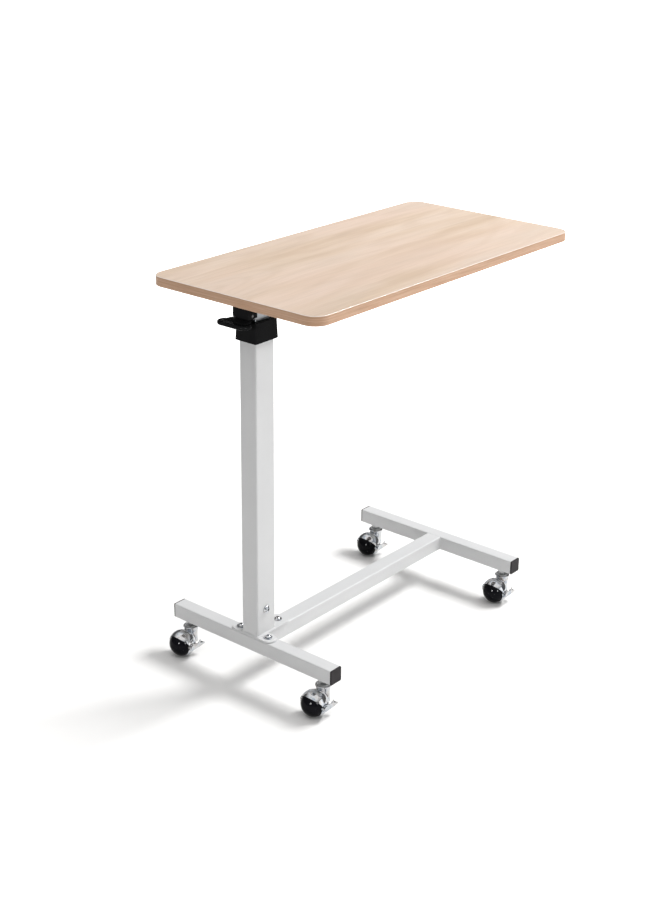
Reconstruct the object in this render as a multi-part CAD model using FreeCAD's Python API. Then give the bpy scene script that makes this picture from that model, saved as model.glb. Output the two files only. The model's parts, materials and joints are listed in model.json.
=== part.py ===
import FreeCAD, Part
import math
import os

# Overbed table: a laminated top carried at one end by a telescopic column on a wheeled H-shaped base.
# Millimetres. Origin on the floor under the middle of the tabletop, +X along the top away from the
# column, +Y across it, +Z up. "Front" is the column's end (-X) and "left" is +Y.

# ---------------------------------------------------------------- driving dimensions
TOP_LENGTH = 800.0
TOP_WIDTH = 400.0
TOP_THICKNESS = 18.0
TOP_CORNER = 30.0
TOP_HEIGHT = 790.0
BAND_THICKNESS = 1.5
BAND_EDGE = 1.0

STROKE = 300.0

COLUMN_X = -330.0
COLUMN_SIZE = (50.0, 40.0)
COLUMN_WALL = 1.8
COLUMN_CORNER = 3.0
COLUMN_TOP = 716.0
INNER_SIZE = (40.0, 30.0)
INNER_WALL = 1.5
INNER_CORNER = 2.5
INNER_FOOT = 250.0
GUIDE_GAP = 0.3

COLLAR_FOOT_SIZE = (61.0, 51.0)
COLLAR_TOP_SIZE = (58.0, 48.0)
COLLAR_BOTTOM = 695.5
COLLAR_TOP = 733.5
COLLAR_CORNER = 3.0
COLLAR_RIM = 1.2
SLEEVE_HEIGHT = 60.0
GLIDE_FLOOR = 4.0
GLIDE_HEIGHT = 40.0

BAR = 30.0
BAR_WALL = 1.5
BAR_CORNER = 2.5
BAR_BOTTOM = 69.0
BAR_LENGTH = 410.0
FRONT_BAR_X = -342.0
REAR_BAR_X = 259.0
BEAM_WIDTH = 35.0
CAP_FLANGE = 3.0
CAP_PLUG = 12.0
CAP_EDGE = 1.2
CAP_PLUG_SIDE = 25.0
CAP_PLUG_WALL = 2.0
CAP_RIBS = (3.0, 8.0)
CAP_RIB_THICKNESS = 1.2
CAP_RIB_SIDE = 26.8

PLATE_THICKNESS = 4.0
PLATE_CORNER = 14.0
PLATE_EDGE = 0.7
PLATE_WING = 52.0
PLATE_TONGUE = 20.0
PLATE_TONGUE_END = -256.0
PLATE_BOLTS = [(FRONT_BAR_X, -35.0), (FRONT_BAR_X, 35.0), (-275.0, 0.0)]

BOLT_RADIUS = 4.0
BOLT_HOLE = 4.3
BOLT_HEAD = 7.0
BOLT_HEAD_HEIGHT = 4.4
BOLT_SOCKET_FLATS = 5.0
BOLT_SOCKET_DEPTH = 2.5
WASHER_RADIUS = 8.5
WASHER_THICKNESS = 1.5
NUT_FLATS = 13.0
NUT_HEIGHT = 6.5
THREAD_FIT = 0.05
NUT_CHAMFER = 0.8
THREAD_END = 2.0
WELD_LEG = 2.5
WELD_TOE = 0.2
COLUMN_BOLT_Z = 155.0

RAIL = 20.0
RAIL_WALL = 1.5
RAIL_CORNER = 2.0
PLUG_HEAD = 2.0
PLUG_DEPTH = 8.0
PLUG_GAP = 0.1
RAIL_Y = 80.0
RAIL_START = -345.0
RAIL_END = 260.0
FAR_MEMBER_X = 180.0
SCREW_RADIUS = 1.9
SCREW_HEAD = 4.2
SCREW_HEAD_HEIGHT = 2.2
SCREW_DEPTH = 12.0
SCREW_TIP = (3.0, 0.3)
SCREW_CROSS = (2.2, 0.5, 1.2)
RAIL_SCREWS_X = (-280.0, -30.0, 220.0)

CYLINDER_RADIUS = 11.0
CYLINDER_WALL = 1.5
CYLINDER_SPAN = (177.0, 690.0)
GLAND_HEIGHT = 14.0
EYE_WIDTH = 20.0
ROD_RADIUS = 5.0
PISTON_HEIGHT = 14.0
RUNNING_GAP = 0.06
FIXED_GAP = 0.02
EYE_RADIUS = 9.0
EYE_NECK_RADIUS = 8.0
CYLINDER_FLOOR = 8.0
SPACER_RADIUS = 6.5
HEAD_SPAN = (715.0, 735.0)
PIN_RADIUS = 1.5
PIN_CAP_RADIUS = 3.0
PIN_CAP_HEIGHT = 4.0
PIN_CAP_DOME = 6.0

HOUSING_SPAN_X = (-372.0, -350.0)
HOUSING_HALF_WIDTH = 20.0
HOUSING_BOTTOM = 743.0
HOUSING_WALL = 2.5
HOUSING_CORNER = 2.5
PIVOT_X = -362.0
PIVOT_Z = 748.0
PIVOT_RADIUS = 2.5
HUB_RADIUS = 6.0
HUB_HALF_WIDTH = 17.0
PADDLE_SPAN_X = (-398.0, -369.0)
PADDLE_SPAN_Y = (-32.0, 40.5)
PADDLE_SPAN_Z = (729.5, 737.5)
PADDLE_CORNER = 14.0
PADDLE_EDGE = 3.4
ARM_HALF_WIDTH = 4.0
ARM_HEIGHT = 5.0
ARM_DROP = 2.8
ARM_OVERLAP = 4.0
NECK_HALF_WIDTH = 16.5
NECK_CORNER = 2.0
NECK_FLARE_CORNER = 5.0
FLARE_SPAN_Y = (-27.0, 37.0)
SWEEP_SPAN_X = (-384.0, -366.0)
SWEEP_SPAN_Y = (-22.5, 29.0)
SWEEP_Z = 738.5
SHOULDER_SPAN_X = (-374.0, -358.0)
SHOULDER_SPAN_Y = (-20.0, 20.0)
SHOULDER_Z = 740.6

STEM_Y = 173.5
TRAIL = 26.0
WHEEL_RADIUS = 25.5
WHEEL_HALF_WIDTH = 24.5
AXLE_RADIUS = 3.0
AXLE_HEAD_RADIUS = 4.8
AXLE_HEAD_HEIGHT = 1.2
HOOD_RADIUS = 27.5
HOOD_CAVITY = 26.2
HOOD_CAVITY_HALF_WIDTH = 24.9
HOOD_OPENING_TILT = 42.4
BOSS_RADIUS = 8.0
BOSS_FACE = 27.7
HOOD_CHEEK_FRONT = -7.0
HOOD_CHEEK_FOOT = -20.5
CUP_RADIUS = 15.5
CUP_SPAN = (46.3, 55.7)
CUP_EDGE = 0.8
CUP_RECESS_RADIUS = 13.6
CUP_RECESS_DEPTH = 1.6
HOOD_WAIST = (13.0, 38.0)
HOOD_NECK_FOOT = (13.8, 22.0)
RIVET_RADIUS = 6.5
RIVET_HEIGHT = 2.0
RIVET_CLEARANCE = 0.7
RIVET_POCKET = 5.3
RIVET_GAP = 0.3
KINGPIN_RADIUS = 4.0
STEM_DISC_RADIUS = 12.6
STEM_DISC_SPAN = (54.4, 58.0)
STEM_DISC_EDGE = 1.2
STEM_TIP = 1.0
STEM_HOLE_GAP = 0.2
STEM_RADIUS = 5.0
STEM_TOP = 88.0
STEM_NUT_FLATS = 17.0
STEM_NUT_HEIGHT = 6.0
INSERT_FLATS = 19.0
INSERT_HEIGHT = 12.0
BRAKE_THICKNESS = 1.6
BRAKE_HUB = 7.0
BRAKE_ARM = [(0.0, -7.0), (24.0, -5.5), (34.0, -4.0), (34.0, -1.5), (20.0, 2.5), (0.0, 7.0)]
BRAKE_PRONG = [(12.0, -2.0), (18.0, -1.0), (24.5, 6.5), (22.5, 8.5)]
BRAKE_TAB = (9.0, 10.0)
BRAKE_TAB_CORNER = 3.0

# ---------------------------------------------------------------- derived sizes
TOP_UNDERSIDE = TOP_HEIGHT - TOP_THICKNESS
FRAME_BOTTOM = TOP_UNDERSIDE - RAIL
BAR_TOP = BAR_BOTTOM + BAR
BAR_TUBE_END = BAR_LENGTH / 2 - CAP_FLANGE
COLUMN_FOOT = BAR_TOP + PLATE_THICKNESS
COLUMN_BORE = tuple(side - 2 * COLUMN_WALL for side in COLUMN_SIZE)
INNER_BORE = tuple(side - 2 * INNER_WALL for side in INNER_SIZE)
PIN_CONTACT_Z = PIVOT_Z - ARM_DROP - GUIDE_GAP

X_AXIS = FreeCAD.Vector(1, 0, 0)
Y_AXIS = FreeCAD.Vector(0, 1, 0)
Z_AXIS = FreeCAD.Vector(0, 0, 1)
ORIGIN = FreeCAD.Vector(0, 0, 0)


# ---------------------------------------------------------------- shape helpers
def vector(x, y, z):
    return FreeCAD.Vector(x, y, z)


def box(x_span, y_span, z_span):
    """Box between two values on each axis."""
    size = [high - low for low, high in (x_span, y_span, z_span)]
    return Part.makeBox(*size, vector(x_span[0], y_span[0], z_span[0]))


def rounded_wire(width, depth, radius, z=0.0):
    """Rounded rectangle in the XY plane, centred on the origin."""
    half_x = width / 2
    half_y = depth / 2
    inset = radius * (1 - math.sqrt(0.5))
    edges = []
    corners = [(1, 1), (-1, 1), (-1, -1), (1, -1)]
    for index, (sx, sy) in enumerate(corners):
        along_x = vector(sx * (half_x - radius), sy * half_y, z)
        along_y = vector(sx * half_x, sy * (half_y - radius), z)
        middle = vector(sx * (half_x - inset), sy * (half_y - inset), z)
        next_sx, next_sy = corners[(index + 1) % 4]
        if sx == sy:
            start, end = along_y, along_x
            following = vector(next_sx * (half_x - radius), next_sy * half_y, z)
        else:
            start, end = along_x, along_y
            following = vector(next_sx * half_x, next_sy * (half_y - radius), z)
        edges.append(Part.Arc(start, middle, end).toShape())
        edges.append(Part.makeLine(end, following))
    return Part.Wire(edges)


def rounded_prism(width, depth, radius, z_span):
    """Upright prism with a rounded rectangular section, about the Z axis."""
    face = Part.Face(rounded_wire(width, depth, radius, z_span[0]))
    return face.extrude(Z_AXIS * (z_span[1] - z_span[0]))


def rectangular_tube(size, wall, corner, z_span):
    """Upright tube with rounded corners, about the Z axis."""
    outside = rounded_prism(*size, corner, z_span)
    inside = rounded_prism(size[0] - 2 * wall, size[1] - 2 * wall, corner - wall, z_span)
    return outside.cut(inside)


def along_x(shape):
    """Turn an upright shape so that its Z runs along +X."""
    return shape.rotated(ORIGIN, Y_AXIS, 90)


def along_y(shape):
    """Turn an upright shape so that its Z runs along +Y."""
    return shape.rotated(ORIGIN, X_AXIS, -90)


def moved(shape, x, y, z):
    return shape.translated(vector(x, y, z))


def hexagon(flats, z_span):
    """Upright hexagonal prism about the Z axis."""
    reach = flats / math.sqrt(3)
    points = []
    for step in range(7):
        angle = math.radians(60 * step)
        points.append(vector(reach * math.cos(angle), reach * math.sin(angle), z_span[0]))
    return Part.Face(Part.makePolygon(points)).extrude(Z_AXIS * (z_span[1] - z_span[0]))


def cylinder(radius, z_span, x=0.0, y=0.0):
    return Part.makeCylinder(radius, z_span[1] - z_span[0], vector(x, y, z_span[0]))


def nut(flats, bore, z_span):
    """Hexagonal nut with a plain bore, its outer corners chamfered."""
    reach = flats / math.sqrt(3)
    height = z_span[1] - z_span[0]
    chamfer = NUT_CHAMFER
    flank = cylinder(reach, (z_span[0] + chamfer, z_span[1] - chamfer))
    low = Part.makeCone(reach - chamfer, reach, chamfer, vector(0, 0, z_span[0]))
    high = Part.makeCone(reach, reach - chamfer, chamfer, vector(0, 0, z_span[0] + height - chamfer))
    body = hexagon(flats, z_span).common(flank.fuse([low, high]))
    return body.cut(cylinder(bore, z_span))


def washer(z_span):
    return cylinder(WASHER_RADIUS, z_span).cut(cylinder(BOLT_HOLE, z_span))


def button_bolt(length):
    """Domed socket-head bolt: the head's underside is at Z 0 and the shank points down."""
    cap_radius = (BOLT_HEAD ** 2 + BOLT_HEAD_HEIGHT ** 2) / (2 * BOLT_HEAD_HEIGHT)
    ball = Part.makeSphere(cap_radius, vector(0, 0, BOLT_HEAD_HEIGHT - cap_radius))
    head = ball.common(cylinder(BOLT_HEAD, (0, BOLT_HEAD_HEIGHT)))
    socket = hexagon(BOLT_SOCKET_FLATS, (BOLT_HEAD_HEIGHT - BOLT_SOCKET_DEPTH, BOLT_HEAD_HEIGHT))
    return head.cut(socket).fuse(cylinder(BOLT_RADIUS, (-length, 0))).removeSplitter()


def prism_y(points, half_width):
    """Solid with a closed outline in XZ, from -half_width to +half_width in Y."""
    outline = [vector(x, -half_width, z) for x, z in points]
    face = Part.Face(Part.makePolygon(outline + outline[:1]))
    return face.extrude(Y_AXIS * 2 * half_width)


def save(name, shape):
    if not shape.isValid():
        raise ValueError(name + " is not a valid shape")
    shape.exportStep(os.path.join("parts", name + ".step"))


def save_group(name, shapes):
    """Separate identical solids that share one node."""
    save(name, Part.makeCompound(shapes))


# ---------------------------------------------------------------- tabletop and its frame
def screw_places():
    """Where the wood screws stand: three in each rail and two in the lever housing."""
    rails = [(x, side * RAIL_Y) for side in (-1, 1) for x in RAIL_SCREWS_X]
    housing = [(PIVOT_X, side * HOUSING_HALF_WIDTH / 2) for side in (-1, 1)]
    return rails + housing


def build_tabletop():
    span = (TOP_UNDERSIDE, TOP_HEIGHT)
    core = (TOP_LENGTH - 2 * BAND_THICKNESS, TOP_WIDTH - 2 * BAND_THICKNESS, TOP_CORNER - BAND_THICKNESS)
    board = rounded_prism(*core, span)
    pilot = (TOP_UNDERSIDE, TOP_UNDERSIDE + SCREW_DEPTH + 1)
    pilots = [cylinder(SCREW_RADIUS + THREAD_FIT, pilot, x, y) for x, y in screw_places()]
    save("tabletop_board", board.cut(pilots))

    slab = rounded_prism(TOP_LENGTH, TOP_WIDTH, TOP_CORNER, span)
    rim = [edge for edge in slab.Edges if abs(edge.BoundBox.ZLength) < 1e-6]
    save("tabletop_edge_band", slab.makeFillet(BAND_EDGE, rim).cut(rounded_prism(*core, span)))


def build_top_frame():
    """Welded steel frame under the top: two rails and two cross members."""
    access = (FRAME_BOTTOM, FRAME_BOTTOM + RAIL_WALL)
    through = (FRAME_BOTTOM + RAIL_WALL, TOP_UNDERSIDE)
    tube = rectangular_tube((RAIL, RAIL), RAIL_WALL, RAIL_CORNER, (RAIL_START, RAIL_END))
    for name, side in (("left_top_rail", 1), ("right_top_rail", -1)):
        rail = moved(along_x(tube), 0, side * RAIL_Y, FRAME_BOTTOM + RAIL / 2)
        for x in RAIL_SCREWS_X:
            rail = rail.cut(cylinder(SCREW_HEAD + 1, access, x, side * RAIL_Y))
            rail = rail.cut(cylinder(SCREW_RADIUS + THREAD_FIT, through, x, side * RAIL_Y))
        save(name, rail)

    reach = RAIL_Y - RAIL / 2
    members = (("column_cross_member", COLUMN_X, INNER_SIZE[0]), ("far_cross_member", FAR_MEMBER_X, RAIL))
    for name, x, width in members:
        member = rectangular_tube((width, RAIL), RAIL_WALL, RAIL_CORNER, (-reach, reach))
        save(name, moved(along_y(member), x, 0, FRAME_BOTTOM + RAIL / 2))

    plug = rounded_prism(RAIL, RAIL, RAIL_CORNER, (0, PLUG_HEAD))
    shank = RAIL - 2 * RAIL_WALL - 2 * PLUG_GAP
    plug = plug.fuse(rounded_prism(shank, shank, RAIL_CORNER - RAIL_WALL, (-PLUG_DEPTH, 0))).removeSplitter()
    plugs = []
    for side in (-1, 1):
        height = FRAME_BOTTOM + RAIL / 2
        plugs.append(moved(along_x(plug), RAIL_END, side * RAIL_Y, height))
        plugs.append(moved(along_x(plug.rotated(ORIGIN, X_AXIS, 180)), RAIL_START, side * RAIL_Y, height))
    save_group("rail_end_plugs", plugs)


def build_tabletop_screws():
    seat = TOP_UNDERSIDE - RAIL_WALL
    tip_height, tip_radius = SCREW_TIP
    shank_top = TOP_UNDERSIDE + SCREW_DEPTH - tip_height
    shank = cylinder(SCREW_RADIUS, (seat, shank_top))
    tip = Part.makeCone(SCREW_RADIUS, tip_radius, tip_height, vector(0, 0, shank_top))
    foot = seat - SCREW_HEAD_HEIGHT
    head = Part.makeCone(SCREW_HEAD - 1, SCREW_HEAD, SCREW_HEAD_HEIGHT, vector(0, 0, foot))
    cross_reach, cross_half, cross_depth = SCREW_CROSS
    slot = box((-cross_reach, cross_reach), (-cross_half, cross_half), (foot, foot + cross_depth))
    cross = slot.fuse(slot.rotated(ORIGIN, Z_AXIS, 90))
    screw = shank.fuse([tip, head]).cut(cross).removeSplitter()
    save_group("tabletop_screws", [moved(screw, x, y, 0) for x, y in screw_places()])


# ---------------------------------------------------------------- column
def build_outer_column():
    tube = rectangular_tube(COLUMN_SIZE, COLUMN_WALL, COLUMN_CORNER, (COLUMN_FOOT, COLUMN_TOP))
    hole = along_y(cylinder(BOLT_HOLE, (-COLUMN_SIZE[1], COLUMN_SIZE[1])))
    tube = tube.cut(moved(hole, 0, 0, COLUMN_BOLT_Z))
    save("outer_column", moved(tube, COLUMN_X, 0, 0))


def build_collar():
    """Moulded collar over the column's mouth, a little narrower at its top."""
    foot = rounded_wire(*COLLAR_FOOT_SIZE, COLLAR_CORNER, COLLAR_BOTTOM)
    head = rounded_wire(*COLLAR_TOP_SIZE, COLLAR_CORNER, COLLAR_TOP)
    collar = Part.makeLoft([foot, head], True)
    rim = [edge for edge in collar.Edges if edge.BoundBox.ZMin > COLLAR_TOP - 1e-3]
    collar = collar.makeFillet(COLLAR_RIM, rim)
    collar = collar.cut(rounded_prism(*COLUMN_SIZE, COLUMN_CORNER, (COLLAR_BOTTOM, COLUMN_TOP)))
    mouth = [side + 4 * GUIDE_GAP for side in INNER_SIZE]
    collar = collar.cut(rounded_prism(*mouth, INNER_CORNER, (COLUMN_TOP, COLLAR_TOP)))
    save("column_collar", moved(collar, COLUMN_X, 0, 0))


def build_guides():
    """Sleeve fixed in the outer column's mouth, and the glide on the inner column's foot."""
    span = (COLUMN_TOP - SLEEVE_HEIGHT, COLUMN_TOP)
    sleeve = rounded_prism(*COLUMN_BORE, COLUMN_CORNER - COLUMN_WALL, span)
    bore = [side + 2 * GUIDE_GAP for side in INNER_SIZE]
    sleeve = sleeve.cut(rounded_prism(*bore, INNER_CORNER, span))
    save("column_guide_sleeve", moved(sleeve, COLUMN_X, 0, 0))

    outside = [side - 2 * GUIDE_GAP for side in COLUMN_BORE]
    floor = INNER_FOOT - GLIDE_FLOOR
    rim = INNER_FOOT + GLIDE_HEIGHT
    glide = rounded_prism(*outside, COLUMN_CORNER - COLUMN_WALL, (floor, rim))
    glide = glide.cut(rounded_prism(*INNER_SIZE, INNER_CORNER, (INNER_FOOT, rim)))
    glide = glide.cut(rounded_prism(*INNER_BORE, INNER_CORNER - INNER_WALL, (floor, INNER_FOOT)))
    save("inner_column_glide", moved(glide, COLUMN_X, 0, 0))


def build_inner_column():
    tube = rectangular_tube(INNER_SIZE, INNER_WALL, INNER_CORNER, (INNER_FOOT, FRAME_BOTTOM))
    window = box((-INNER_SIZE[0] / 2 - 1, 0), (-ARM_HALF_WIDTH - 2, ARM_HALF_WIDTH + 2),
                 (PIVOT_Z - 10, FRAME_BOTTOM - 0.5))
    save("inner_column", moved(tube.cut(window), COLUMN_X, 0, 0))


# ---------------------------------------------------------------- lockable gas spring
def build_gas_spring():
    low, high = CYLINDER_SPAN
    bore = CYLINDER_RADIUS - CYLINDER_WALL
    body = cylinder(CYLINDER_RADIUS, CYLINDER_SPAN).cut(cylinder(bore, (low + CYLINDER_FLOOR, high)))
    eye = moved(along_y(cylinder(EYE_RADIUS, (-EYE_WIDTH / 2, EYE_WIDTH / 2))), 0, 0, COLUMN_BOLT_Z)
    neck = cylinder(EYE_NECK_RADIUS, (COLUMN_BOLT_Z, low))
    hole = moved(along_y(cylinder(BOLT_RADIUS + THREAD_FIT, (-EYE_WIDTH, EYE_WIDTH))), 0, 0, COLUMN_BOLT_Z)
    solid = body.fuse([eye, neck]).cut(hole).removeSplitter()
    save("gas_spring_cylinder", moved(solid, COLUMN_X, 0, 0))

    gland_span = (high - GLAND_HEIGHT, high)
    gland = cylinder(bore, gland_span).cut(cylinder(ROD_RADIUS + RUNNING_GAP, gland_span))
    save("gas_spring_gland", moved(gland, COLUMN_X, 0, 0))

    piston_top = high - GLAND_HEIGHT - STROKE - 2
    rod = cylinder(ROD_RADIUS, (piston_top, HEAD_SPAN[1]))
    rod = rod.fuse(cylinder(bore - RUNNING_GAP, (piston_top - PISTON_HEIGHT, piston_top)))
    rod = rod.cut(cylinder(PIN_RADIUS + RUNNING_GAP, (high, HEAD_SPAN[1]))).removeSplitter()
    save("gas_spring_rod", moved(rod, COLUMN_X, 0, 0))

    head = rounded_prism(INNER_BORE[0] - 0.1, INNER_BORE[1] - 0.1, 1.0, HEAD_SPAN)
    head = head.cut(cylinder(ROD_RADIUS + THREAD_FIT, HEAD_SPAN))
    save("release_head", moved(head, COLUMN_X, 0, 0))

    spacers = []
    for side in (-1, 1):
        ends = sorted((side * EYE_WIDTH / 2, side * COLUMN_BORE[1] / 2))
        tube = cylinder(SPACER_RADIUS, ends).cut(cylinder(BOLT_RADIUS + THREAD_FIT, ends))
        spacers.append(moved(along_y(tube), COLUMN_X, 0, COLUMN_BOLT_Z))
    save_group("gas_spring_spacers", spacers)


def build_release_pin():
    """Valve pin inside the rod; its domed cap lies just under the lever's arm."""
    cap_bottom = PIN_CONTACT_Z - PIN_CAP_HEIGHT
    cap = cylinder(PIN_CAP_RADIUS, (cap_bottom, PIN_CONTACT_Z))
    cap = cap.common(Part.makeSphere(PIN_CAP_DOME, vector(0, 0, PIN_CONTACT_Z - PIN_CAP_DOME)))
    stem = cylinder(PIN_RADIUS, (CYLINDER_SPAN[1] + 10, cap_bottom))
    save("release_pin", moved(cap.fuse(stem).removeSplitter(), COLUMN_X, 0, 0))


def build_column_bolt():
    """Through bolt that holds the gas spring's eye, low in the column."""
    face = COLUMN_SIZE[1] / 2
    seat = face + WASHER_THICKNESS
    bolt = along_y(button_bolt(2 * seat + NUT_HEIGHT + THREAD_END).rotated(ORIGIN, X_AXIS, 180))
    save("column_bolt", moved(bolt, COLUMN_X, -seat, COLUMN_BOLT_Z))

    rings = [along_y(washer((-seat, -face))), along_y(washer((face, seat)))]
    save_group("column_bolt_washers", [moved(ring, COLUMN_X, 0, COLUMN_BOLT_Z) for ring in rings])

    lock_nut = along_y(nut(NUT_FLATS, BOLT_RADIUS + THREAD_FIT, (seat, seat + NUT_HEIGHT)))
    save("column_bolt_nut", moved(lock_nut, COLUMN_X, 0, COLUMN_BOLT_Z))


# ---------------------------------------------------------------- lever
def build_lever_housing():
    x_front, x_back = HOUSING_SPAN_X
    shell = box(HOUSING_SPAN_X, (-HOUSING_HALF_WIDTH, HOUSING_HALF_WIDTH), (HOUSING_BOTTOM, TOP_UNDERSIDE))
    uprights = [edge for edge in shell.Edges if edge.BoundBox.ZLength > 1]
    front = [edge for edge in uprights if edge.BoundBox.XMax < x_front + 1e-6]
    shell = shell.makeFillet(HOUSING_CORNER, front)
    inner = HOUSING_HALF_WIDTH - HOUSING_WALL
    ceiling = (TOP_UNDERSIDE - RAIL_WALL, TOP_UNDERSIDE)
    cavity = box((x_front + HOUSING_WALL, x_back), (-inner, inner), (HOUSING_BOTTOM, ceiling[0]))
    shell = shell.cut(cavity)
    pivot = along_y(cylinder(PIVOT_RADIUS + FIXED_GAP, (-HOUSING_HALF_WIDTH, HOUSING_HALF_WIDTH)))
    shell = shell.cut(moved(pivot, PIVOT_X, 0, PIVOT_Z))
    for x, y in screw_places()[-2:]:
        shell = shell.cut(cylinder(SCREW_RADIUS + THREAD_FIT, ceiling, x, y))
    save("lever_housing", shell)


def build_lever_pin():
    """Pivot pin pressed into the housing, its ends flush with the outside."""
    pin = along_y(cylinder(PIVOT_RADIUS, (-HOUSING_HALF_WIDTH, HOUSING_HALF_WIDTH)))
    save("lever_pivot_pin", moved(pin, PIVOT_X, 0, PIVOT_Z))


def paddle():
    """Soft-edged finger plate in front of and below the housing, a little longer to the left."""
    (front, rear), (right, left) = PADDLE_SPAN_X, PADDLE_SPAN_Y
    plate = rounded_prism(rear - front, left - right, PADDLE_CORNER, PADDLE_SPAN_Z)
    rims = [edge for edge in plate.Edges if edge.BoundBox.ZLength < 1e-6]
    return moved(plate.makeFillet(PADDLE_EDGE, rims), (front + rear) / 2, (left + right) / 2, 0)


def neck_section(x_span, y_span, corner, z):
    """Level rounded rectangle of the neck, between two places on each axis."""
    outline = rounded_wire(x_span[1] - x_span[0], y_span[1] - y_span[0], corner, z)
    return moved(outline, sum(x_span) / 2, sum(y_span) / 2, 0)


def lever_neck():
    """Neck that drops from the hub to a shoulder under the housing and sweeps out into the paddle."""
    front, rear = PADDLE_SPAN_X
    flare = (front + PADDLE_EDGE, rear - PADDLE_EDGE)
    sections = [neck_section(flare, FLARE_SPAN_Y, NECK_FLARE_CORNER, PADDLE_SPAN_Z[1] - PADDLE_EDGE),
                neck_section(SWEEP_SPAN_X, SWEEP_SPAN_Y, NECK_FLARE_CORNER, SWEEP_Z),
                neck_section(SHOULDER_SPAN_X, SHOULDER_SPAN_Y, NECK_FLARE_CORNER, SHOULDER_Z)]
    upright = rounded_prism(2 * HUB_RADIUS, 2 * NECK_HALF_WIDTH, NECK_CORNER, (SWEEP_Z, PIVOT_Z))
    return Part.makeLoft(sections, True, True).fuse(moved(upright, PIVOT_X, 0, 0))


def build_release_lever():
    """Paddle, neck and hub in one moulding, with the stiff arm that presses the valve pin."""
    hub = moved(along_y(cylinder(HUB_RADIUS, (-HUB_HALF_WIDTH, HUB_HALF_WIDTH))), PIVOT_X, 0, PIVOT_Z)
    arm = box((PIVOT_X, COLUMN_X + ARM_OVERLAP), (-ARM_HALF_WIDTH, ARM_HALF_WIDTH),
              (PIVOT_Z - ARM_DROP, PIVOT_Z - ARM_DROP + ARM_HEIGHT))
    lever = paddle().fuse([lever_neck(), hub, arm]).removeSplitter()
    bore = along_y(cylinder(PIVOT_RADIUS + RUNNING_GAP, (-HOUSING_HALF_WIDTH, HOUSING_HALF_WIDTH)))
    save("release_lever", lever.cut(moved(bore, PIVOT_X, 0, PIVOT_Z)))


# ---------------------------------------------------------------- base
def build_crossbars():
    tube = rectangular_tube((BAR, BAR), BAR_WALL, BAR_CORNER, (-BAR_TUBE_END, BAR_TUBE_END))
    for name, x in (("front_crossbar", FRONT_BAR_X), ("rear_crossbar", REAR_BAR_X)):
        bar = moved(along_y(tube), x, 0, BAR_BOTTOM + BAR / 2)
        for side in (-1, 1):
            floor = (BAR_BOTTOM, BAR_BOTTOM + BAR_WALL)
            bar = bar.cut(cylinder(STEM_RADIUS + STEM_HOLE_GAP, floor, x, side * STEM_Y))
        for bolt_x, bolt_y in PLATE_BOLTS:
            if bolt_x == x:
                bar = bar.cut(cylinder(BOLT_HOLE, (BAR_TOP - BAR_WALL, BAR_TOP), bolt_x, bolt_y))
        save(name, bar)


def build_beam():
    span = (FRONT_BAR_X + BAR / 2, REAR_BAR_X - BAR / 2)
    tube = rectangular_tube((BAR, BEAM_WIDTH), BAR_WALL, BAR_CORNER, span)
    beam = moved(along_x(tube), 0, 0, BAR_BOTTOM + BAR / 2)
    bolt_x, bolt_y = PLATE_BOLTS[-1]
    save("base_beam", beam.cut(cylinder(BOLT_HOLE, (BAR_TOP - BAR_WALL, BAR_TOP), bolt_x, bolt_y)))


def end_cap():
    """Moulded cap: a flange as large as the bar, and a hollow plug with two grip ribs."""
    flange = rounded_prism(BAR, BAR, BAR_CORNER, (0, CAP_FLANGE))
    outer = [edge for edge in flange.Edges if edge.BoundBox.ZMin > CAP_FLANGE - 1e-6]
    flange = flange.makeFillet(CAP_EDGE, outer)
    hollow = CAP_PLUG_SIDE - 2 * CAP_PLUG_WALL
    plug = rounded_prism(CAP_PLUG_SIDE, CAP_PLUG_SIDE, 1.0, (-CAP_PLUG, 0))
    plug = plug.cut(rounded_prism(hollow, hollow, 1.0, (-CAP_PLUG, 0)))
    ribs = []
    for depth in CAP_RIBS:
        span = (-depth - CAP_RIB_THICKNESS, -depth)
        rib = rounded_prism(CAP_RIB_SIDE, CAP_RIB_SIDE, BAR_CORNER - BAR_WALL, span)
        ribs.append(rib.cut(rounded_prism(CAP_PLUG_SIDE - 1, CAP_PLUG_SIDE - 1, 0.5, span)))
    return flange.fuse([plug] + ribs).removeSplitter()


def build_end_caps():
    cap = end_cap()
    for end, x in (("front", FRONT_BAR_X), ("rear", REAR_BAR_X)):
        for hand, side in (("left", 1), ("right", -1)):
            turned = along_y(cap if side > 0 else cap.rotated(ORIGIN, X_AXIS, 180))
            place = moved(turned, x, side * BAR_TUBE_END, BAR_BOTTOM + BAR / 2)
            save("_".join((end, hand, "end_cap")), place)


def build_foot_plate():
    """T-shaped plate: wings over the front crossbar, tongue over the beam."""
    span = (BAR_TOP, COLUMN_FOOT)
    wing = moved(rounded_prism(BAR, 2 * PLATE_WING, PLATE_CORNER, span), FRONT_BAR_X, 0, 0)
    length = PLATE_TONGUE_END - FRONT_BAR_X
    tongue = rounded_prism(length, 2 * PLATE_TONGUE, PLATE_CORNER, span)
    tongue = moved(tongue, FRONT_BAR_X + length / 2, 0, 0)
    square = box((FRONT_BAR_X, FRONT_BAR_X + PLATE_CORNER), (-PLATE_TONGUE, PLATE_TONGUE), span)
    plate = wing.fuse([tongue, square]).removeSplitter()
    rims = [edge for edge in plate.Edges if edge.BoundBox.ZLength < 1e-6]
    plate = plate.makeChamfer(PLATE_EDGE, rims)
    holes = [cylinder(BOLT_HOLE, span, x, y) for x, y in PLATE_BOLTS]
    save("foot_plate", plate.cut(holes))


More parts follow.
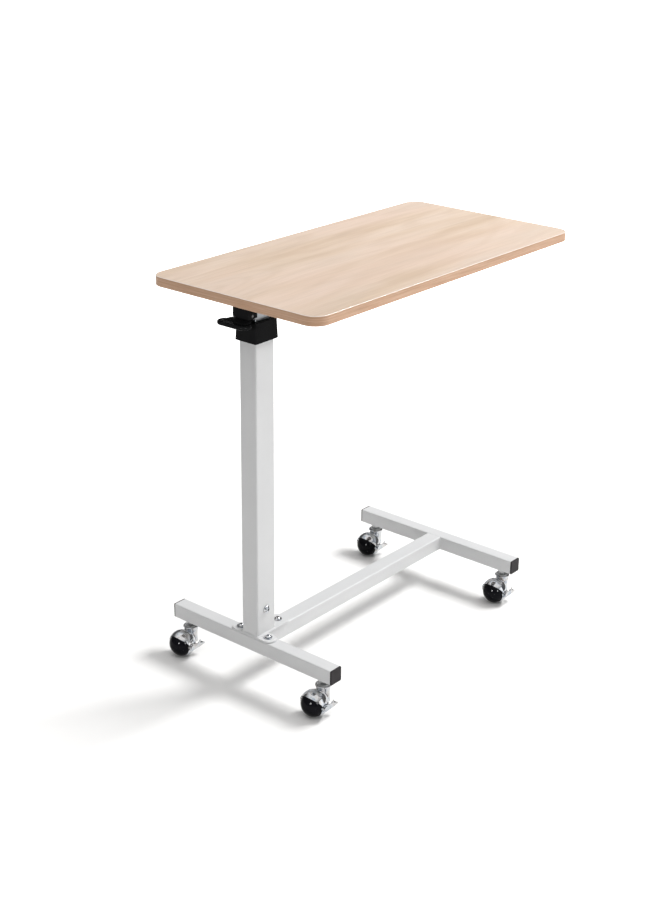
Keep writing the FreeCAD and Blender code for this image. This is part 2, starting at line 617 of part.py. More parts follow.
def build_plate_fasteners():
    seat = COLUMN_FOOT + WASHER_THICKNESS
    nut_span = (BAR_TOP - BAR_WALL - NUT_HEIGHT, BAR_TOP - BAR_WALL)
    bolt = button_bolt(seat - nut_span[0] + THREAD_END)
    weld_nut = nut(NUT_FLATS, BOLT_RADIUS + THREAD_FIT, nut_span)
    ring = washer((COLUMN_FOOT, seat))
    save_group("foot_plate_bolts", [moved(bolt, x, y, seat) for x, y in PLATE_BOLTS])
    save_group("foot_plate_washers", [moved(ring, x, y, 0) for x, y in PLATE_BOLTS])
    save_group("foot_plate_nuts", [moved(weld_nut, x, y, 0) for x, y in PLATE_BOLTS])


def build_welds():
    """Weld beads: round the column's foot, and up the corners where the beam meets the crossbars."""
    leg = WELD_LEG
    rings = []
    for offset, z in ((leg, COLUMN_FOOT), (WELD_TOE, COLUMN_FOOT + leg)):
        width, depth = [side + 2 * offset for side in COLUMN_SIZE]
        rings.append(rounded_wire(width, depth, COLUMN_CORNER + offset, z))
    ring = Part.makeLoft(rings, True)
    ring = ring.cut(rounded_prism(*COLUMN_SIZE, COLUMN_CORNER, (COLUMN_FOOT, COLUMN_FOOT + leg)))
    beads = [moved(ring, COLUMN_X, 0, 0)]
    for x, inward in ((FRONT_BAR_X + BAR / 2, 1), (REAR_BAR_X - BAR / 2, -1)):
        for side in (-1, 1):
            corner = vector(x, side * BEAM_WIDTH / 2, BAR_BOTTOM + BAR_CORNER)
            along = corner + X_AXIS * inward * leg
            across = corner + Y_AXIS * side * leg
            face = Part.Face(Part.makePolygon([corner, along, across, corner]))
            beads.append(face.extrude(Z_AXIS * (BAR - 2 * BAR_CORNER)))
    save_group("frame_weld_beads", beads)


# ---------------------------------------------------------------- casters
def wheel_centre(height=WHEEL_RADIUS):
    """A point on the wheel's upright middle line, in the caster's own frame (stem axis at X 0, Y 0)."""
    return vector(-TRAIL, 0, height)


def axle_cylinder(radius, y_span):
    shape = along_y(cylinder(radius, y_span))
    return shape.translated(wheel_centre())


def caster_stem():
    """Fixed half of the swivel: kingpin with its riveted head, bearing disc and threaded stem."""
    rivet_top = CUP_SPAN[0] - RIVET_GAP
    rivet = cylinder(RIVET_RADIUS, (rivet_top - RIVET_HEIGHT, rivet_top))
    kingpin = cylinder(KINGPIN_RADIUS, (rivet_top, STEM_DISC_SPAN[0]))
    disc = cylinder(STEM_DISC_RADIUS, STEM_DISC_SPAN)
    rim = [edge for edge in disc.Edges if edge.BoundBox.ZMin > STEM_DISC_SPAN[1] - 1e-6]
    disc = disc.makeFillet(STEM_DISC_EDGE, rim)
    stem = cylinder(STEM_RADIUS, (STEM_DISC_SPAN[1], STEM_TOP - STEM_TIP))
    tip = Part.makeCone(STEM_RADIUS, STEM_RADIUS - STEM_TIP, STEM_TIP, vector(0, 0, STEM_TOP - STEM_TIP))
    return rivet.fuse([kingpin, disc, stem, tip]).removeSplitter()


def hood_neck():
    """Cup over the kingpin, narrowing a little on its way down into the hood."""
    low, high = CUP_SPAN
    waist, foot = [vector(radius, 0, z) for radius, z in (HOOD_WAIST, HOOD_NECK_FOOT)]
    brim = vector(CUP_RADIUS, 0, high - CUP_EDGE)
    top = vector(CUP_RADIUS - CUP_EDGE, 0, high)
    profile = [
        Part.makeLine(vector(0, 0, foot.z), foot),
        Part.Arc(foot, waist, brim).toShape(),
        Part.makeLine(brim, top),
        Part.makeLine(top, vector(0, 0, high)),
        Part.makeLine(vector(0, 0, high), vector(0, 0, foot.z)),
    ]
    neck = Part.Face(Part.Wire(profile)).revolve(ORIGIN, Z_AXIS, 360)
    return neck.cut(cylinder(CUP_RECESS_RADIUS, (high - CUP_RECESS_DEPTH, high)))


def hood_opening():
    """Space where the wheel shows: under a slanting front edge, between two cheeks, and at the floor."""
    reach = 2 * HOOD_RADIUS
    below_edge = box((-reach, 0), (-reach, reach), (-reach, reach))
    below_edge = below_edge.rotated(ORIGIN, Y_AXIS, -HOOD_OPENING_TILT)
    before_cheeks = box((-reach, HOOD_CHEEK_FRONT), (-reach, reach), (-reach, reach))
    underneath = box((-reach, reach), (-reach, reach), (-reach, HOOD_CHEEK_FOOT))
    return [below_edge.common(before_cheeks), underneath]


def caster_hood():
    """Ball-shaped hood over the back, top and sides of the wheel, with axle bosses and swivel cup."""
    body = Part.makeSphere(HOOD_RADIUS, wheel_centre()).fuse(hood_neck())
    reach = 2 * HOOD_RADIUS
    slab = box((-reach, reach), (-HOOD_CAVITY_HALF_WIDTH, HOOD_CAVITY_HALF_WIDTH), (-reach, reach))
    cavity = Part.makeSphere(HOOD_CAVITY).common(slab).translated(wheel_centre())
    body = body.cut([cavity] + [space.translated(wheel_centre()) for space in hood_opening()])
    bosses = [axle_cylinder(BOSS_RADIUS, (HOOD_CAVITY_HALF_WIDTH, BOSS_FACE)),
              axle_cylinder(BOSS_RADIUS, (-BOSS_FACE, -HOOD_CAVITY_HALF_WIDTH))]
    body = body.fuse(bosses)
    kingpin_bore = cylinder(KINGPIN_RADIUS + RUNNING_GAP, CUP_SPAN)
    pocket = cylinder(RIVET_RADIUS + RIVET_CLEARANCE, (CUP_SPAN[0] - RIVET_POCKET, CUP_SPAN[0]))
    axle_bore = axle_cylinder(AXLE_RADIUS + FIXED_GAP, (-BOSS_FACE, BOSS_FACE))
    return body.cut([kingpin_bore, pocket, axle_bore]).removeSplitter()


def caster_wheel():
    reach = 2 * WHEEL_RADIUS
    slab = box((-reach, reach), (-WHEEL_HALF_WIDTH, WHEEL_HALF_WIDTH), (-reach, reach))
    ball = Part.makeSphere(WHEEL_RADIUS).common(slab).translated(wheel_centre())
    return ball.cut(axle_cylinder(AXLE_RADIUS + RUNNING_GAP, (-WHEEL_HALF_WIDTH, WHEEL_HALF_WIDTH)))


def brake_plate_face():
    return -BOSS_FACE - GUIDE_GAP


def caster_axle():
    """Riveted axle; its right end also carries the brake lever."""
    brake_side = brake_plate_face() - BRAKE_THICKNESS - GUIDE_GAP
    shank = axle_cylinder(AXLE_RADIUS, (brake_side, BOSS_FACE))
    heads = [axle_cylinder(AXLE_HEAD_RADIUS, (brake_side - AXLE_HEAD_HEIGHT, brake_side)),
             axle_cylinder(AXLE_HEAD_RADIUS, (BOSS_FACE, BOSS_FACE + AXLE_HEAD_HEIGHT))]
    return shank.fuse(heads).removeSplitter()


def caster_brake():
    """Rocker on the axle's right end: an arm with a tab to step on behind the hood, and a release prong."""
    outer = brake_plate_face()
    inner = outer - BRAKE_THICKNESS
    hub = along_y(cylinder(BRAKE_HUB, (inner, outer)))
    plates = [moved(prism_y(points, BRAKE_THICKNESS / 2), 0, (inner + outer) / 2, 0)
              for points in (BRAKE_ARM, BRAKE_PRONG)]
    length, width = BRAKE_TAB
    end_x, end_z = BRAKE_ARM[2]
    tab = box((end_x - length, end_x), (inner, inner + width), (end_z, end_z + BRAKE_THICKNESS))
    tip = [edge for edge in tab.Edges if edge.BoundBox.ZLength > 1 and edge.BoundBox.YMin > outer]
    tab = tab.makeFillet(BRAKE_TAB_CORNER, tip)
    bore = along_y(cylinder(AXLE_RADIUS + RUNNING_GAP, (inner, outer)))
    return hub.fuse(plates + [tab]).cut(bore).removeSplitter().translated(wheel_centre())


def build_casters():
    """Four swivelling ball casters, drawn with every wheel trailing towards -X."""
    pieces = {"stem": caster_stem(), "hood": caster_hood(), "wheel": caster_wheel(),
              "axle": caster_axle(), "brake": caster_brake()}
    places = []
    for end, x in (("front", FRONT_BAR_X), ("rear", REAR_BAR_X)):
        for hand, side in (("left", 1), ("right", -1)):
            places.append((x, side * STEM_Y))
            for piece, shape in pieces.items():
                save("_".join((end, hand, "caster", piece)), moved(shape, x, side * STEM_Y, 0))
    lock_nut = nut(STEM_NUT_FLATS, STEM_RADIUS + THREAD_FIT, (BAR_BOTTOM - STEM_NUT_HEIGHT, BAR_BOTTOM))
    floor = BAR_BOTTOM + BAR_WALL
    insert = nut(INSERT_FLATS, STEM_RADIUS + THREAD_FIT, (floor, floor + INSERT_HEIGHT))
    save_group("caster_lock_nuts", [moved(lock_nut, x, y, 0) for x, y in places])
    save_group("caster_stem_inserts", [moved(insert, x, y, 0) for x, y in places])


os.makedirs("parts", exist_ok=True)
build_tabletop()
build_top_frame()
build_tabletop_screws()
build_outer_column()
build_collar()
build_guides()
build_inner_column()
build_gas_spring()
build_release_pin()
build_column_bolt()
build_lever_housing()
build_lever_pin()
build_release_lever()
build_crossbars()
build_beam()
build_end_caps()
build_foot_plate()
build_plate_fasteners()
build_welds()
build_casters()
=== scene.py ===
import json
import math
import bpy
from mathutils import Matrix, Vector


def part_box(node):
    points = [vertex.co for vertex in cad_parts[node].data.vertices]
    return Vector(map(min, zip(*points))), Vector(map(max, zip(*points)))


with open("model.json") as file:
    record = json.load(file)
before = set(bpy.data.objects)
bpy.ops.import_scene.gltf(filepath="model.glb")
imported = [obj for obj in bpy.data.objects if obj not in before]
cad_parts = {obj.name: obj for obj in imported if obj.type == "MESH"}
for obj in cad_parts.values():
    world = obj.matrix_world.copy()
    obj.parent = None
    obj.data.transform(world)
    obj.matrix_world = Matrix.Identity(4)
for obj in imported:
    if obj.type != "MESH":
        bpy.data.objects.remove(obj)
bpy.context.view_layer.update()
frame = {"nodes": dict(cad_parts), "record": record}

# Looks of an overbed table: procedural finishes for every CAD piece, floor, lights and camera.
# Metres, in the CAD frame: +X along the top away from the column, +Y across it, +Z up.

# ---------------------------------------------------------------- camera
CAMERA_PLACE = Vector((-2.2545, -1.7591, 1.5514))
CAMERA_AZIMUTH = math.radians(-50.51)
CAMERA_ELEVATION = math.radians(22.35)
CAMERA_ROLL = math.radians(0.71)
CAMERA_LENS = 61.08
CAMERA_REACH = 200.0

# ---------------------------------------------------------------- lamps, in watts and metres
LAMP_TARGET = Vector((0.0, 0.0, 0.4))
KEY_PLACE = Vector((2.95, -1.08, 4.14))
KEY_SIZE = 1.57
KEY_POWER = 228.0
FILL_PLACE = Vector((0.6, -3.4, 1.1))
FILL_SIZE = 2.2
FILL_POWER = 20.0
SOFTBOX_CENTRE = Vector((0.0, 0.0, 0.1))
SOFTBOX_DISTANCE = 3.5
SOFTBOX_SPREAD = math.radians(27.0)
SOFTBOX_SIZE = 0.28
SOFTBOX_POWER = 3.0
GLINT_SIZE = 0.50
GLINT_POWER = 210.0

# ---------------------------------------------------------------- floor and sky
WHITE = (1.0, 1.0, 1.0)
FLOOR_HALF = 40.0
FLOOR_COLOUR = (0.93, 0.925, 0.915)
FLOOR_GLOW = 1.1
GLOW_START = 0.6
GLOW_FULL = 2.6
SKY_SIDES = 0.14
SKY_OVERHEAD = 1.05
SKY_EDGE = (0.50, 0.85)

# ---------------------------------------------------------------- wood print
GRAIN_DRIFT = (1.3, 2.4, 2.4)
# Backing sheet brown, made darker as painted shade for the shaded underside.
BACKING_AND_SHADE_BROWN = (0.055, 0.047, 0.042)
# Pale colour painted on the band's rounded top edge as a highlight.
ARRIS_PAINTED_HIGHLIGHT = (0.840, 0.780, 0.720)
ARRIS_ROUGHNESS = 0.16
BAND_ROUGHNESS = 0.38
# Depth below the band's top over which a painted shade line darkens it.
SHADE_LINE_DEPTH = 0.004


# ---------------------------------------------------------------- shader helpers
def opaque(value):
    """A colour gets full alpha, a number becomes that grey, and a socket stays as it is."""
    if isinstance(value, float):
        value = (value, value, value)
    return (*value, 1.0) if isinstance(value, tuple) else value


class Nodes:
    """Short calls that add nodes to a node tree and link them."""

    def __init__(self, tree):
        self.tree = tree

    def feed(self, socket, value):
        if isinstance(value, bpy.types.NodeSocket):
            self.tree.links.new(value, socket)
        else:
            socket.default_value = value

    def add(self, kind, **values):
        node = self.tree.nodes.new("ShaderNode" + kind)
        for socket, value in values.items():
            self.feed(node.inputs[socket.replace("_", " ")], value)
        return node

    def calculate(self, operation, *values):
        node = self.add("Math")
        node.operation = operation
        for socket, value in zip(node.inputs, values):
            self.feed(socket, value)
        return node.outputs["Value"]

    def scaled(self, factor, low, high):
        """The factor's 0 to 1 as a number from low to high."""
        return self.add("MapRange", Value=factor, To_Min=low, To_Max=high).outputs["Result"]

    def ramp(self, factor, *stops):
        """Colour ramp; each stop is a place and a grey level or a colour."""
        node = self.add("ValToRGB", Fac=factor)
        elements = node.color_ramp.elements
        while len(elements) < len(stops):
            elements.new(0.5)
        for element, (position, value) in zip(elements, stops):
            element.position = position
            element.color = opaque(value)
        return node.outputs["Color"]

    def mix(self, factor, first, second, blend="MIX"):
        """One colour or socket over another, by a factor."""
        node = self.tree.nodes.new("ShaderNodeMix")
        node.data_type = "RGBA"
        node.blend_type = blend
        self.feed(node.inputs["Factor"], factor)
        self.feed(node.inputs["A"], opaque(first))
        self.feed(node.inputs["B"], opaque(second))
        return node.outputs["Result"]


class Shader(Nodes):
    """A material with one Principled shader, and the textures that feed it."""

    def __init__(self, name, colour, roughness, **settings):
        self.material = bpy.data.materials.new(name)
        self.material.use_nodes = True
        super().__init__(self.material.node_tree)
        self.surface = self.tree.nodes["Principled BSDF"]
        self.set("Base Color", opaque(colour))
        self.set("Roughness", roughness)
        for socket, value in settings.items():
            self.set(socket.replace("_", " "), value)

    def set(self, socket, value):
        self.feed(self.surface.inputs[socket], value)

    def place(self, *scale):
        """Object coordinates, stretched by a scale on each axis."""
        coordinates = self.add("TexCoord").outputs["Object"]
        return self.add("Mapping", Vector=coordinates, Scale=scale).outputs["Vector"]

    def wander(self, reach, *scale):
        """Object coordinates that drift sideways by up to a reach in metres, then stretched."""
        drift = self.scaled(self.noise(self.place(*GRAIN_DRIFT), 1.0, 2.0), -reach, reach)
        moved = self.add("VectorMath")
        self.feed(moved.inputs[0], self.add("TexCoord").outputs["Object"])
        self.feed(moved.inputs[1], self.add("CombineXYZ", Y=drift).outputs["Vector"])
        return self.add("Mapping", Vector=moved.outputs["Vector"], Scale=scale).outputs["Vector"]

    def noise(self, vector, scale, detail=3.0, roughness=0.5, distortion=0.0):
        node = self.add("TexNoise", Vector=vector, Scale=scale, Detail=detail,
                        Roughness=roughness, Distortion=distortion)
        return node.outputs["Fac"]

    def even_noise(self, scale, *settings):
        """Noise of the same scale along every axis."""
        return self.noise(self.place(1.0, 1.0, 1.0), scale, *settings)

    def voronoi(self, vector, scale):
        return self.add("TexVoronoi", Vector=vector, Scale=scale).outputs["Distance"]

    def rings(self, height, count):
        """Growth rings: the contour lines of a height, as a factor from 0 to 1."""
        phase = self.calculate("MULTIPLY", height, count * 2.0 * math.pi)
        wave = self.calculate("SINE", phase)
        return self.add("MapRange", Value=wave, From_Min=-1.0).outputs["Result"]

    def facing_up(self):
        """How far the surface faces up: 1 on a top face, 0 on a wall, -1 on an underside."""
        normal = self.add("NewGeometry").outputs["Normal"]
        return self.add("SeparateXYZ", Vector=normal).outputs["Z"]

    def height(self, low, high):
        """Place between two heights in metres, as a factor from 0 to 1."""
        place = self.add("SeparateXYZ", Vector=self.add("TexCoord").outputs["Object"])
        level = self.add("MapRange", Value=place.outputs["Z"], From_Min=low, From_Max=high)
        return level.outputs["Result"]

    def colour(self, socket):
        self.set("Base Color", socket)

    def vary(self, factor, low, high):
        """Colour that goes from low to high with a factor."""
        self.colour(self.mix(factor, low, high))

    def rough(self, factor, low, high):
        self.set("Roughness", self.scaled(factor, low, high))

    def bump(self, *heights):
        """Bumps stacked on each other; each is a height, a strength and a depth in metres."""
        normal = None
        for height, strength, depth in heights:
            node = self.add("Bump", Height=height, Strength=strength, Distance=depth)
            if normal is not None:
                self.feed(node.inputs["Normal"], normal)
            normal = node.outputs["Normal"]
        self.set("Normal", normal)


# ---------------------------------------------------------------- wood finishes
def maple_print(shader, streaks, fibres):
    """Maple picture: streaks, pink and grey patches, growth rings, fine lines and pores."""
    lines = shader.noise(shader.wander(0.045, 4.0, 95.0, 95.0), 1.0, 4.0, 0.65)
    blush = shader.noise(shader.wander(0.02, 2.0, 6.0, 6.0), 1.0, 2.0, 0.5)
    ash = shader.noise(shader.place(2.8, 9.0, 9.0), 1.0, 3.0, 0.5)
    swell = shader.noise(shader.wander(0.03, 1.0, 5.0, 5.0), 1.0, 1.0, 0.4)
    layers = (
        (blush, (0.42, 0.0), (0.66, 0.50), (0.690, 0.530, 0.445)),
        (ash, (0.48, 0.0), (0.70, 0.42), (0.615, 0.518, 0.445)),
        (shader.rings(swell, 22.0), (0.50, 0.0), (1.0, 0.24), (0.560, 0.425, 0.320)),
        (lines, (0.50, 0.0), (0.68, 0.36), (0.560, 0.430, 0.325)),
    )
    picture = shader.ramp(streaks, (0.34, (0.575, 0.440, 0.325)), (0.46, (0.655, 0.522, 0.410)),
                          (0.58, (0.690, 0.562, 0.462)), (0.72, (0.600, 0.468, 0.360)))
    for factor, start, end, colour in layers:
        picture = shader.mix(shader.ramp(factor, start, end), picture, colour)
    pores = shader.ramp(fibres, (0.35, 0.93), (0.55, 1.0), (0.75, 1.03))
    return shader.mix(1.0, picture, pores, "MULTIPLY")


def laminate():
    """Pale maple laminate with its grain along X, and a dark backing sheet below whose brown is
    partly its own and partly painted shade.
    """
    shader = Shader("laminate_maple", (0.665, 0.530, 0.430), 0.42, Specular_IOR_Level=0.35)
    streaks = shader.noise(shader.wander(0.045, 1.7, 17.0, 17.0), 1.0, 5.0, 0.60)
    fibres = shader.noise(shader.place(9.0, 380.0, 380.0), 1.0, 4.0, 0.7)
    picture = maple_print(shader, streaks, fibres)
    # Underside: the backing sheet's own brown, darkened further as painted shade.
    tilt = shader.add("MapRange", Value=shader.facing_up(), From_Min=-1.0).outputs["Result"]
    below = shader.ramp(tilt, (0.10, 1.0), (0.25, 0.0))
    shader.colour(shader.mix(below, picture, BACKING_AND_SHADE_BROWN))
    shader.rough(fibres, 0.36, 0.50)
    shader.bump((fibres, 0.10, 0.0004), (streaks, 0.04, 0.0006))
    return shader.material


def edge_band():
    """Wood-print plastic strip: lines that follow the edge, a painted highlight and more shine on
    its rounded top, a painted shade line just under it.
    """
    shader = Shader("edge_band_maple", (0.552, 0.330, 0.202), 0.40, Specular_IOR_Level=0.50)
    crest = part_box("tabletop_edge_band")[1][2]
    lines = shader.noise(shader.place(9.0, 9.0, 460.0), 1.0, 4.0, 0.65, 0.4)
    patches = shader.noise(shader.place(9.0, 9.0, 40.0), 1.0, 3.0, 0.5)
    base = shader.ramp(lines, (0.32, (0.446, 0.253, 0.144)), (0.50, (0.557, 0.333, 0.206)),
                       (0.68, (0.638, 0.419, 0.280)))
    patch = shader.ramp(patches, (0.40, 0.0), (0.70, 0.40))
    patched = shader.mix(patch, base, (0.605, 0.386, 0.258))
    # Painted shade: a darker line painted along the band a little under its top.
    painted_shade_line = shader.ramp(shader.height(crest - SHADE_LINE_DEPTH, crest),
                         (0.30, 1.0), (0.52, 0.80), (0.68, 1.0))
    shaded = shader.mix(1.0, patched, painted_shade_line, "MULTIPLY")
    # Painted highlight: the upward-facing rounded top of the band is painted pale, and made
    # shinier.
    arris_highlight = shader.ramp(shader.facing_up(), (0.30, 0.0), (0.65, 1.0))
    shader.vary(arris_highlight, shaded, ARRIS_PAINTED_HIGHLIGHT)
    shader.rough(arris_highlight, BAND_ROUGHNESS, ARRIS_ROUGHNESS)
    shader.bump((lines, 0.12, 0.0003))
    return shader.material


# ---------------------------------------------------------------- metal finishes
def powder_coat():
    """Pale grey powder coat: orange peel, a little uneven in tone."""
    shader = Shader("powder_coat_pale_grey", (0.66, 0.665, 0.67), 0.36, Specular_IOR_Level=0.40)
    peel = shader.even_noise(900.0, 3.0, 0.5)
    cloud = shader.even_noise(14.0, 3.0, 0.5)
    shader.vary(cloud, (0.640, 0.644, 0.650), (0.682, 0.685, 0.688))
    shader.rough(cloud, 0.30, 0.42)
    shader.bump((peel, 0.12, 0.0002))
    return shader.material


def drawn_zinc():
    """Galvanised tube: grey blue, with fine draw lines along Z and a faint spangle."""
    shader = Shader("drawn_zinc", (0.304, 0.315, 0.326), 0.34, Metallic=0.92)
    lines = shader.noise(shader.place(1.0, 1.0, 0.01), 1400.0, 3.0, 0.6)
    spangle = shader.scaled(shader.voronoi(shader.place(1.0, 1.0, 0.6), 160.0), 0.0, 0.6)
    tone = shader.mix(spangle, (0.273, 0.283, 0.294), (0.347, 0.357, 0.362))
    shader.vary(shader.scaled(lines, 0.0, 0.35), tone, (0.231, 0.236, 0.247))
    shader.rough(lines, 0.26, 0.46)
    shader.bump((lines, 0.15, 0.0002))
    return shader.material


def zinc_steel():
    """Bright zinc plate on screws, nuts and stems: cloudy, with a fine grain."""
    shader = Shader("zinc_plate", (0.480, 0.484, 0.487), 0.30, Metallic=1.0)
    cloud = shader.even_noise(160.0, 4.0, 0.6)
    grain = shader.even_noise(2200.0, 2.0, 0.5)
    shader.vary(cloud, (0.400, 0.402, 0.400), (0.544, 0.549, 0.557))
    shader.rough(cloud, 0.20, 0.40)
    shader.bump((grain, 0.12, 0.0001))
    return shader.material


def chrome():
    """Chrome plate over a casting: mirror-like, rippled, with faint blue and warm tints, and darker
    blue and warm streaks painted in as reflections.
    """
    shader = Shader("polished_chrome", (0.60, 0.61, 0.63), 0.08, Metallic=1.0)
    ripple = shader.even_noise(70.0, 2.0, 0.5)
    tint_and_reflection_streaks = shader.even_noise(95.0, 3.0, 0.6, 0.6)
    haze = shader.even_noise(320.0, 4.0, 0.65)
    # Painted reflection: the ramp's darker blue and warm ends paint dark streaks into the chrome;
    # its middle stops are the plate's own tints.
    plating_with_painted_reflection = shader.ramp(tint_and_reflection_streaks, (0.34, (0.400, 0.440, 0.500)), (0.47, (0.620, 0.640, 0.665)),
                          (0.56, (0.660, 0.650, 0.650)), (0.68, (0.450, 0.430, 0.425)))
    dulling = shader.ramp(haze, (0.35, 0.90), (0.65, 1.0))
    shader.colour(shader.mix(1.0, plating_with_painted_reflection, dulling, "MULTIPLY"))
    shader.rough(haze, 0.03, 0.11)
    shader.bump((ripple, 0.22, 0.0014))
    return shader.material


def chromed_rod():
    """Hard chromed rod, ground round: very fine rings across its length."""
    shader = Shader("ground_chrome_rod", (0.76, 0.76, 0.77), 0.12, Metallic=1.0)
    rings = shader.noise(shader.place(0.02, 0.02, 1.0), 5200.0, 2.0, 0.5)
    shader.vary(rings, (0.68, 0.68, 0.69), (0.80, 0.80, 0.81))
    shader.rough(rings, 0.07, 0.18)
    shader.bump((rings, 0.08, 0.0001))
    return shader.material


def cast_aluminium():
    """Sand-grey casting with a coarse grain."""
    shader = Shader("cast_aluminium", (0.60, 0.60, 0.60), 0.48, Metallic=1.0)
    grain = shader.even_noise(900.0, 4.0, 0.7)
    shader.vary(grain, (0.50, 0.50, 0.50), (0.68, 0.68, 0.67))
    shader.rough(grain, 0.40, 0.60)
    shader.bump((grain, 0.35, 0.0002))
    return shader.material


def black_enamel():
    """Black paint with a thin gloss coat and a light orange peel."""
    shader = Shader("black_enamel", (0.015, 0.015, 0.016), 0.28, Coat_Weight=0.25,
                    Coat_Roughness=0.12)
    peel = shader.even_noise(500.0, 3.0, 0.5)
    shader.vary(peel, (0.010, 0.010, 0.011), (0.022, 0.022, 0.023))
    shader.rough(peel, 0.20, 0.34)
    shader.bump((peel, 0.10, 0.0002))
    return shader.material


# ---------------------------------------------------------------- plastic finishes
def black_moulding():
    """Glossy black moulding: faint flow marks, tiny scuffs in the gloss."""
    shader = Shader("black_moulding", (0.002, 0.002, 0.0021), 0.20, Specular_IOR_Level=0.02)
    flow = shader.noise(shader.place(1.0, 1.0, 0.5), 38.0, 3.0, 0.55, 0.8)
    scuffs = shader.noise(shader.place(1.0, 2.5, 1.0), 420.0, 4.0, 0.7)
    shader.vary(flow, (0.0012, 0.0012, 0.0013), (0.0030, 0.0030, 0.0031))
    shader.rough(scuffs, 0.17, 0.34)
    shader.bump((scuffs, 0.05, 0.00015), (flow, 0.06, 0.0008))
    return shader.material


def wheel():
    """Polished black nylon ball, dulled a little in patches."""
    shader = Shader("polished_nylon_ball", (0.0015, 0.0015, 0.0019), 0.08,
                    Specular_IOR_Level=0.05)
    wear = shader.even_noise(120.0, 5.0, 0.7)
    ripple = shader.even_noise(45.0, 2.0, 0.5)
    shader.vary(wear, (0.0008, 0.0008, 0.0011), (0.0022, 0.0022, 0.0027))
    shader.rough(wear, 0.05, 0.12)
    shader.bump((ripple, 0.05, 0.0008))
    return shader.material


def end_cap():
    """Charcoal polyethylene with a fine spark texture."""
    shader = Shader("charcoal_cap", (0.026, 0.023, 0.025), 0.50, Specular_IOR_Level=0.18)
    spark = shader.even_noise(1500.0, 3.0, 0.6)
    cloud = shader.even_noise(60.0, 3.0, 0.5)
    shader.vary(cloud, (0.020, 0.018, 0.020), (0.032, 0.028, 0.030))
    shader.rough(spark, 0.44, 0.62)
    shader.bump((spark, 0.30, 0.0002))
    return shader.material


def nylon():
    """Natural nylon: milky, and slightly cloudy."""
    shader = Shader("natural_nylon", (0.70, 0.68, 0.63), 0.40, Subsurface_Weight=0.15,
                    Subsurface_Scale=0.004)
    cloud = shader.even_noise(90.0, 3.0, 0.5)
    shader.vary(cloud, (0.66, 0.64, 0.58), (0.75, 0.73, 0.68))
    shader.rough(cloud, 0.34, 0.48)
    shader.bump((cloud, 0.08, 0.0003))
    return shader.material


def finish_cad_nodes():
    """Give every CAD node the finish of its material slot."""
    finishes = {
        "laminate": laminate(), "edge_band": edge_band(), "powder_coat": powder_coat(),
        "galvanised_tube": drawn_zinc(), "zinc_steel": zinc_steel(), "chrome": chrome(),
        "chromed_rod": chromed_rod(), "cast_aluminium": cast_aluminium(),
        "black_enamel": black_enamel(), "black_moulding": black_moulding(),
        "wheel": wheel(), "end_cap": end_cap(), "nylon": nylon(),
    }
    for row in frame["record"]["subparts"]:
        node = frame["nodes"][row["node"]]
        for slot in node.material_slots:
            slot.material = finishes[row["material_slot"]]


# ---------------------------------------------------------------- stage
def floor_finish():
    """Pale floor that glows white far from the table, for the camera only: it lights nothing."""
    shader = Shader("pale_floor", FLOOR_COLOUR, 0.75, Specular_IOR_Level=0.1)
    distance = shader.add("VectorMath", Vector=shader.add("TexCoord").outputs["Object"])
    distance.operation = "LENGTH"
    glow = shader.add("MapRange", Value=distance.outputs["Value"], From_Min=GLOW_START,
                      From_Max=GLOW_FULL, To_Max=FLOOR_GLOW).outputs["Result"]
    seen = shader.add("LightPath").outputs["Is Camera Ray"]
    shader.set("Emission Color", opaque(WHITE))
    shader.set("Emission Strength", shader.calculate("MULTIPLY", glow, seen))
    return shader.material


def add_floor():
    """Large square floor at the table's feet."""
    corners = [(x * FLOOR_HALF, y * FLOOR_HALF, 0) for x, y in ((-1, -1), (1, -1), (1, 1), (-1, 1))]
    mesh = bpy.data.meshes.new("floor")
    mesh.from_pydata(corners, [], [(0, 1, 2, 3)])
    mesh.materials.append(floor_finish())
    floor = bpy.data.objects.new("floor", mesh)
    bpy.context.scene.collection.objects.link(floor)


def add_sky():
    """Studio sky: dim walls and a bright ceiling light the table; the camera sees white."""
    world = bpy.data.worlds.new("studio")
    world.use_nodes = True
    nodes = Nodes(world.node_tree)
    direction = nodes.add("SeparateXYZ", Vector=nodes.add("TexCoord").outputs["Generated"])
    levels = zip(SKY_EDGE, (SKY_SIDES, SKY_OVERHEAD))
    light = nodes.ramp(direction.outputs["Z"], *levels)
    seen = nodes.add("LightPath").outputs["Is Camera Ray"]
    background = world.node_tree.nodes["Background"]
    nodes.feed(background.inputs["Color"], nodes.mix(seen, light, WHITE))
    bpy.context.scene.world = world


def camera_axes():
    """The camera's right, up and backward directions."""
    level = math.cos(CAMERA_ELEVATION)
    back = Vector((math.sin(CAMERA_AZIMUTH) * level, -math.cos(CAMERA_AZIMUTH) * level,
                   math.sin(CAMERA_ELEVATION)))
    right = (-back).cross(Vector((0, 0, 1))).normalized()
    up = back.cross(right)
    turn = Matrix.Rotation(CAMERA_ROLL, 3, back)
    return turn @ right, turn @ up, back


def add_camera():
    """Camera that sees the table from the photo's place."""
    camera = bpy.data.cameras.new("camera")
    camera.lens = CAMERA_LENS
    camera.clip_end = CAMERA_REACH
    camera_object = bpy.data.objects.new("camera", camera)
    axes = Matrix(camera_axes()).transposed().to_4x4()
    camera_object.matrix_world = Matrix.Translation(CAMERA_PLACE) @ axes
    bpy.context.scene.collection.objects.link(camera_object)
    bpy.context.scene.camera = camera_object


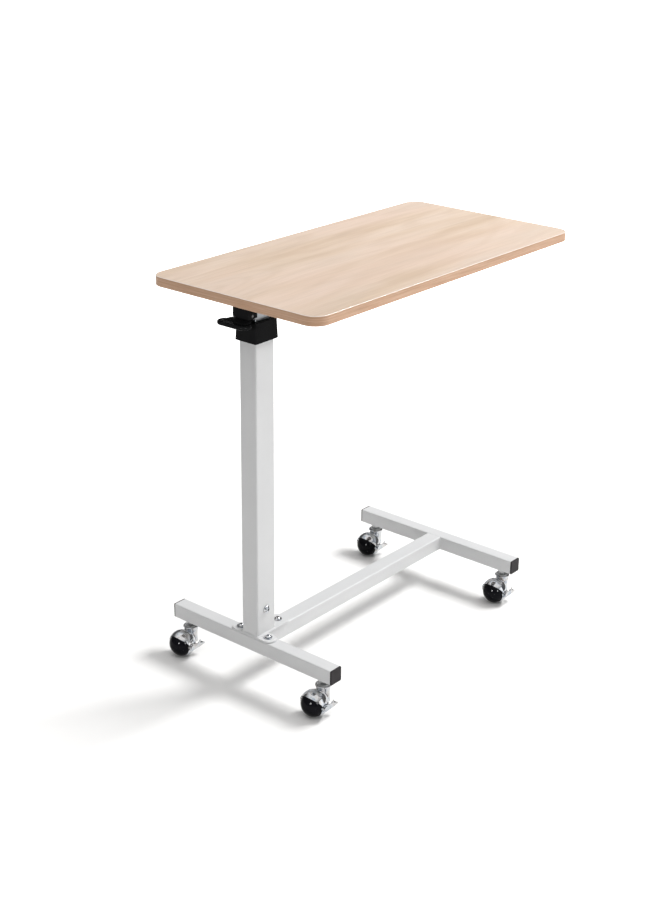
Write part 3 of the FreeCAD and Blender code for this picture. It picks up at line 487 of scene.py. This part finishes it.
# ---------------------------------------------------------------- lamps
def add_lamp(name, place, size, power):
    """Square soft lamp that looks at the middle of the table."""
    lamp = bpy.data.lights.new(name, "AREA")
    lamp.size = size
    lamp.energy = power
    lamp_object = bpy.data.objects.new(name, lamp)
    lamp_object.location = place
    lamp_object.rotation_euler = (LAMP_TARGET - place).to_track_quat("-Z", "Y").to_euler()
    bpy.context.scene.collection.objects.link(lamp_object)
    return lamp_object


def linked_nodes(name, nodes, state):
    """A collection that a lamp reads, to light or shade only these nodes (or all but these)."""
    collection = bpy.data.collections.new(name)
    for node in nodes:
        collection.objects.link(frame["nodes"][node])
    for entry in collection.collection_objects:
        entry.light_linking.link_state = state
    return collection


def add_key():
    """Main lamp: it passes the top body, and gives no light to the lever, the collar and
    what hangs under the tabletop."""
    key = add_lamp("key", KEY_PLACE, KEY_SIZE, KEY_POWER)
    bodies = frame["record"]["behaviour"]["bodies"]
    hanging = [node for node in bodies["top"] if not node.startswith("tabletop")]
    shaded = hanging + bodies["release_lever"] + ["column_collar"]
    key.light_linking.blocker_collection = linked_nodes("key_passes", bodies["top"], "EXCLUDE")
    key.light_linking.receiver_collection = linked_nodes("key_misses", shaded, "EXCLUDE")


def add_softboxes():
    """Two small boxes beside the camera, each with a glint lamp for the glossy blacks only."""
    glossy_black = [row["node"] for row in frame["record"]["subparts"]
                    if row["material_slot"] in ("wheel", "black_moulding")]
    right, _, back = camera_axes()
    for name, side in (("left", -1), ("right", 1)):
        direction = back * math.cos(SOFTBOX_SPREAD) + right * side * math.sin(SOFTBOX_SPREAD)
        place = SOFTBOX_CENTRE + direction * SOFTBOX_DISTANCE
        add_lamp("softbox_" + name, place, SOFTBOX_SIZE, SOFTBOX_POWER)
        glint = add_lamp("glint_" + name, place, GLINT_SIZE, GLINT_POWER)
        receivers = linked_nodes("glint_lights_" + name, glossy_black, "INCLUDE")
        glint.light_linking.receiver_collection = receivers


def add_lights():
    add_key()
    add_lamp("fill", FILL_PLACE, FILL_SIZE, FILL_POWER)
    add_softboxes()


bpy.context.scene.view_settings.view_transform = "Standard"
finish_cad_nodes()
add_floor()
add_sky()
add_camera()
add_lights()
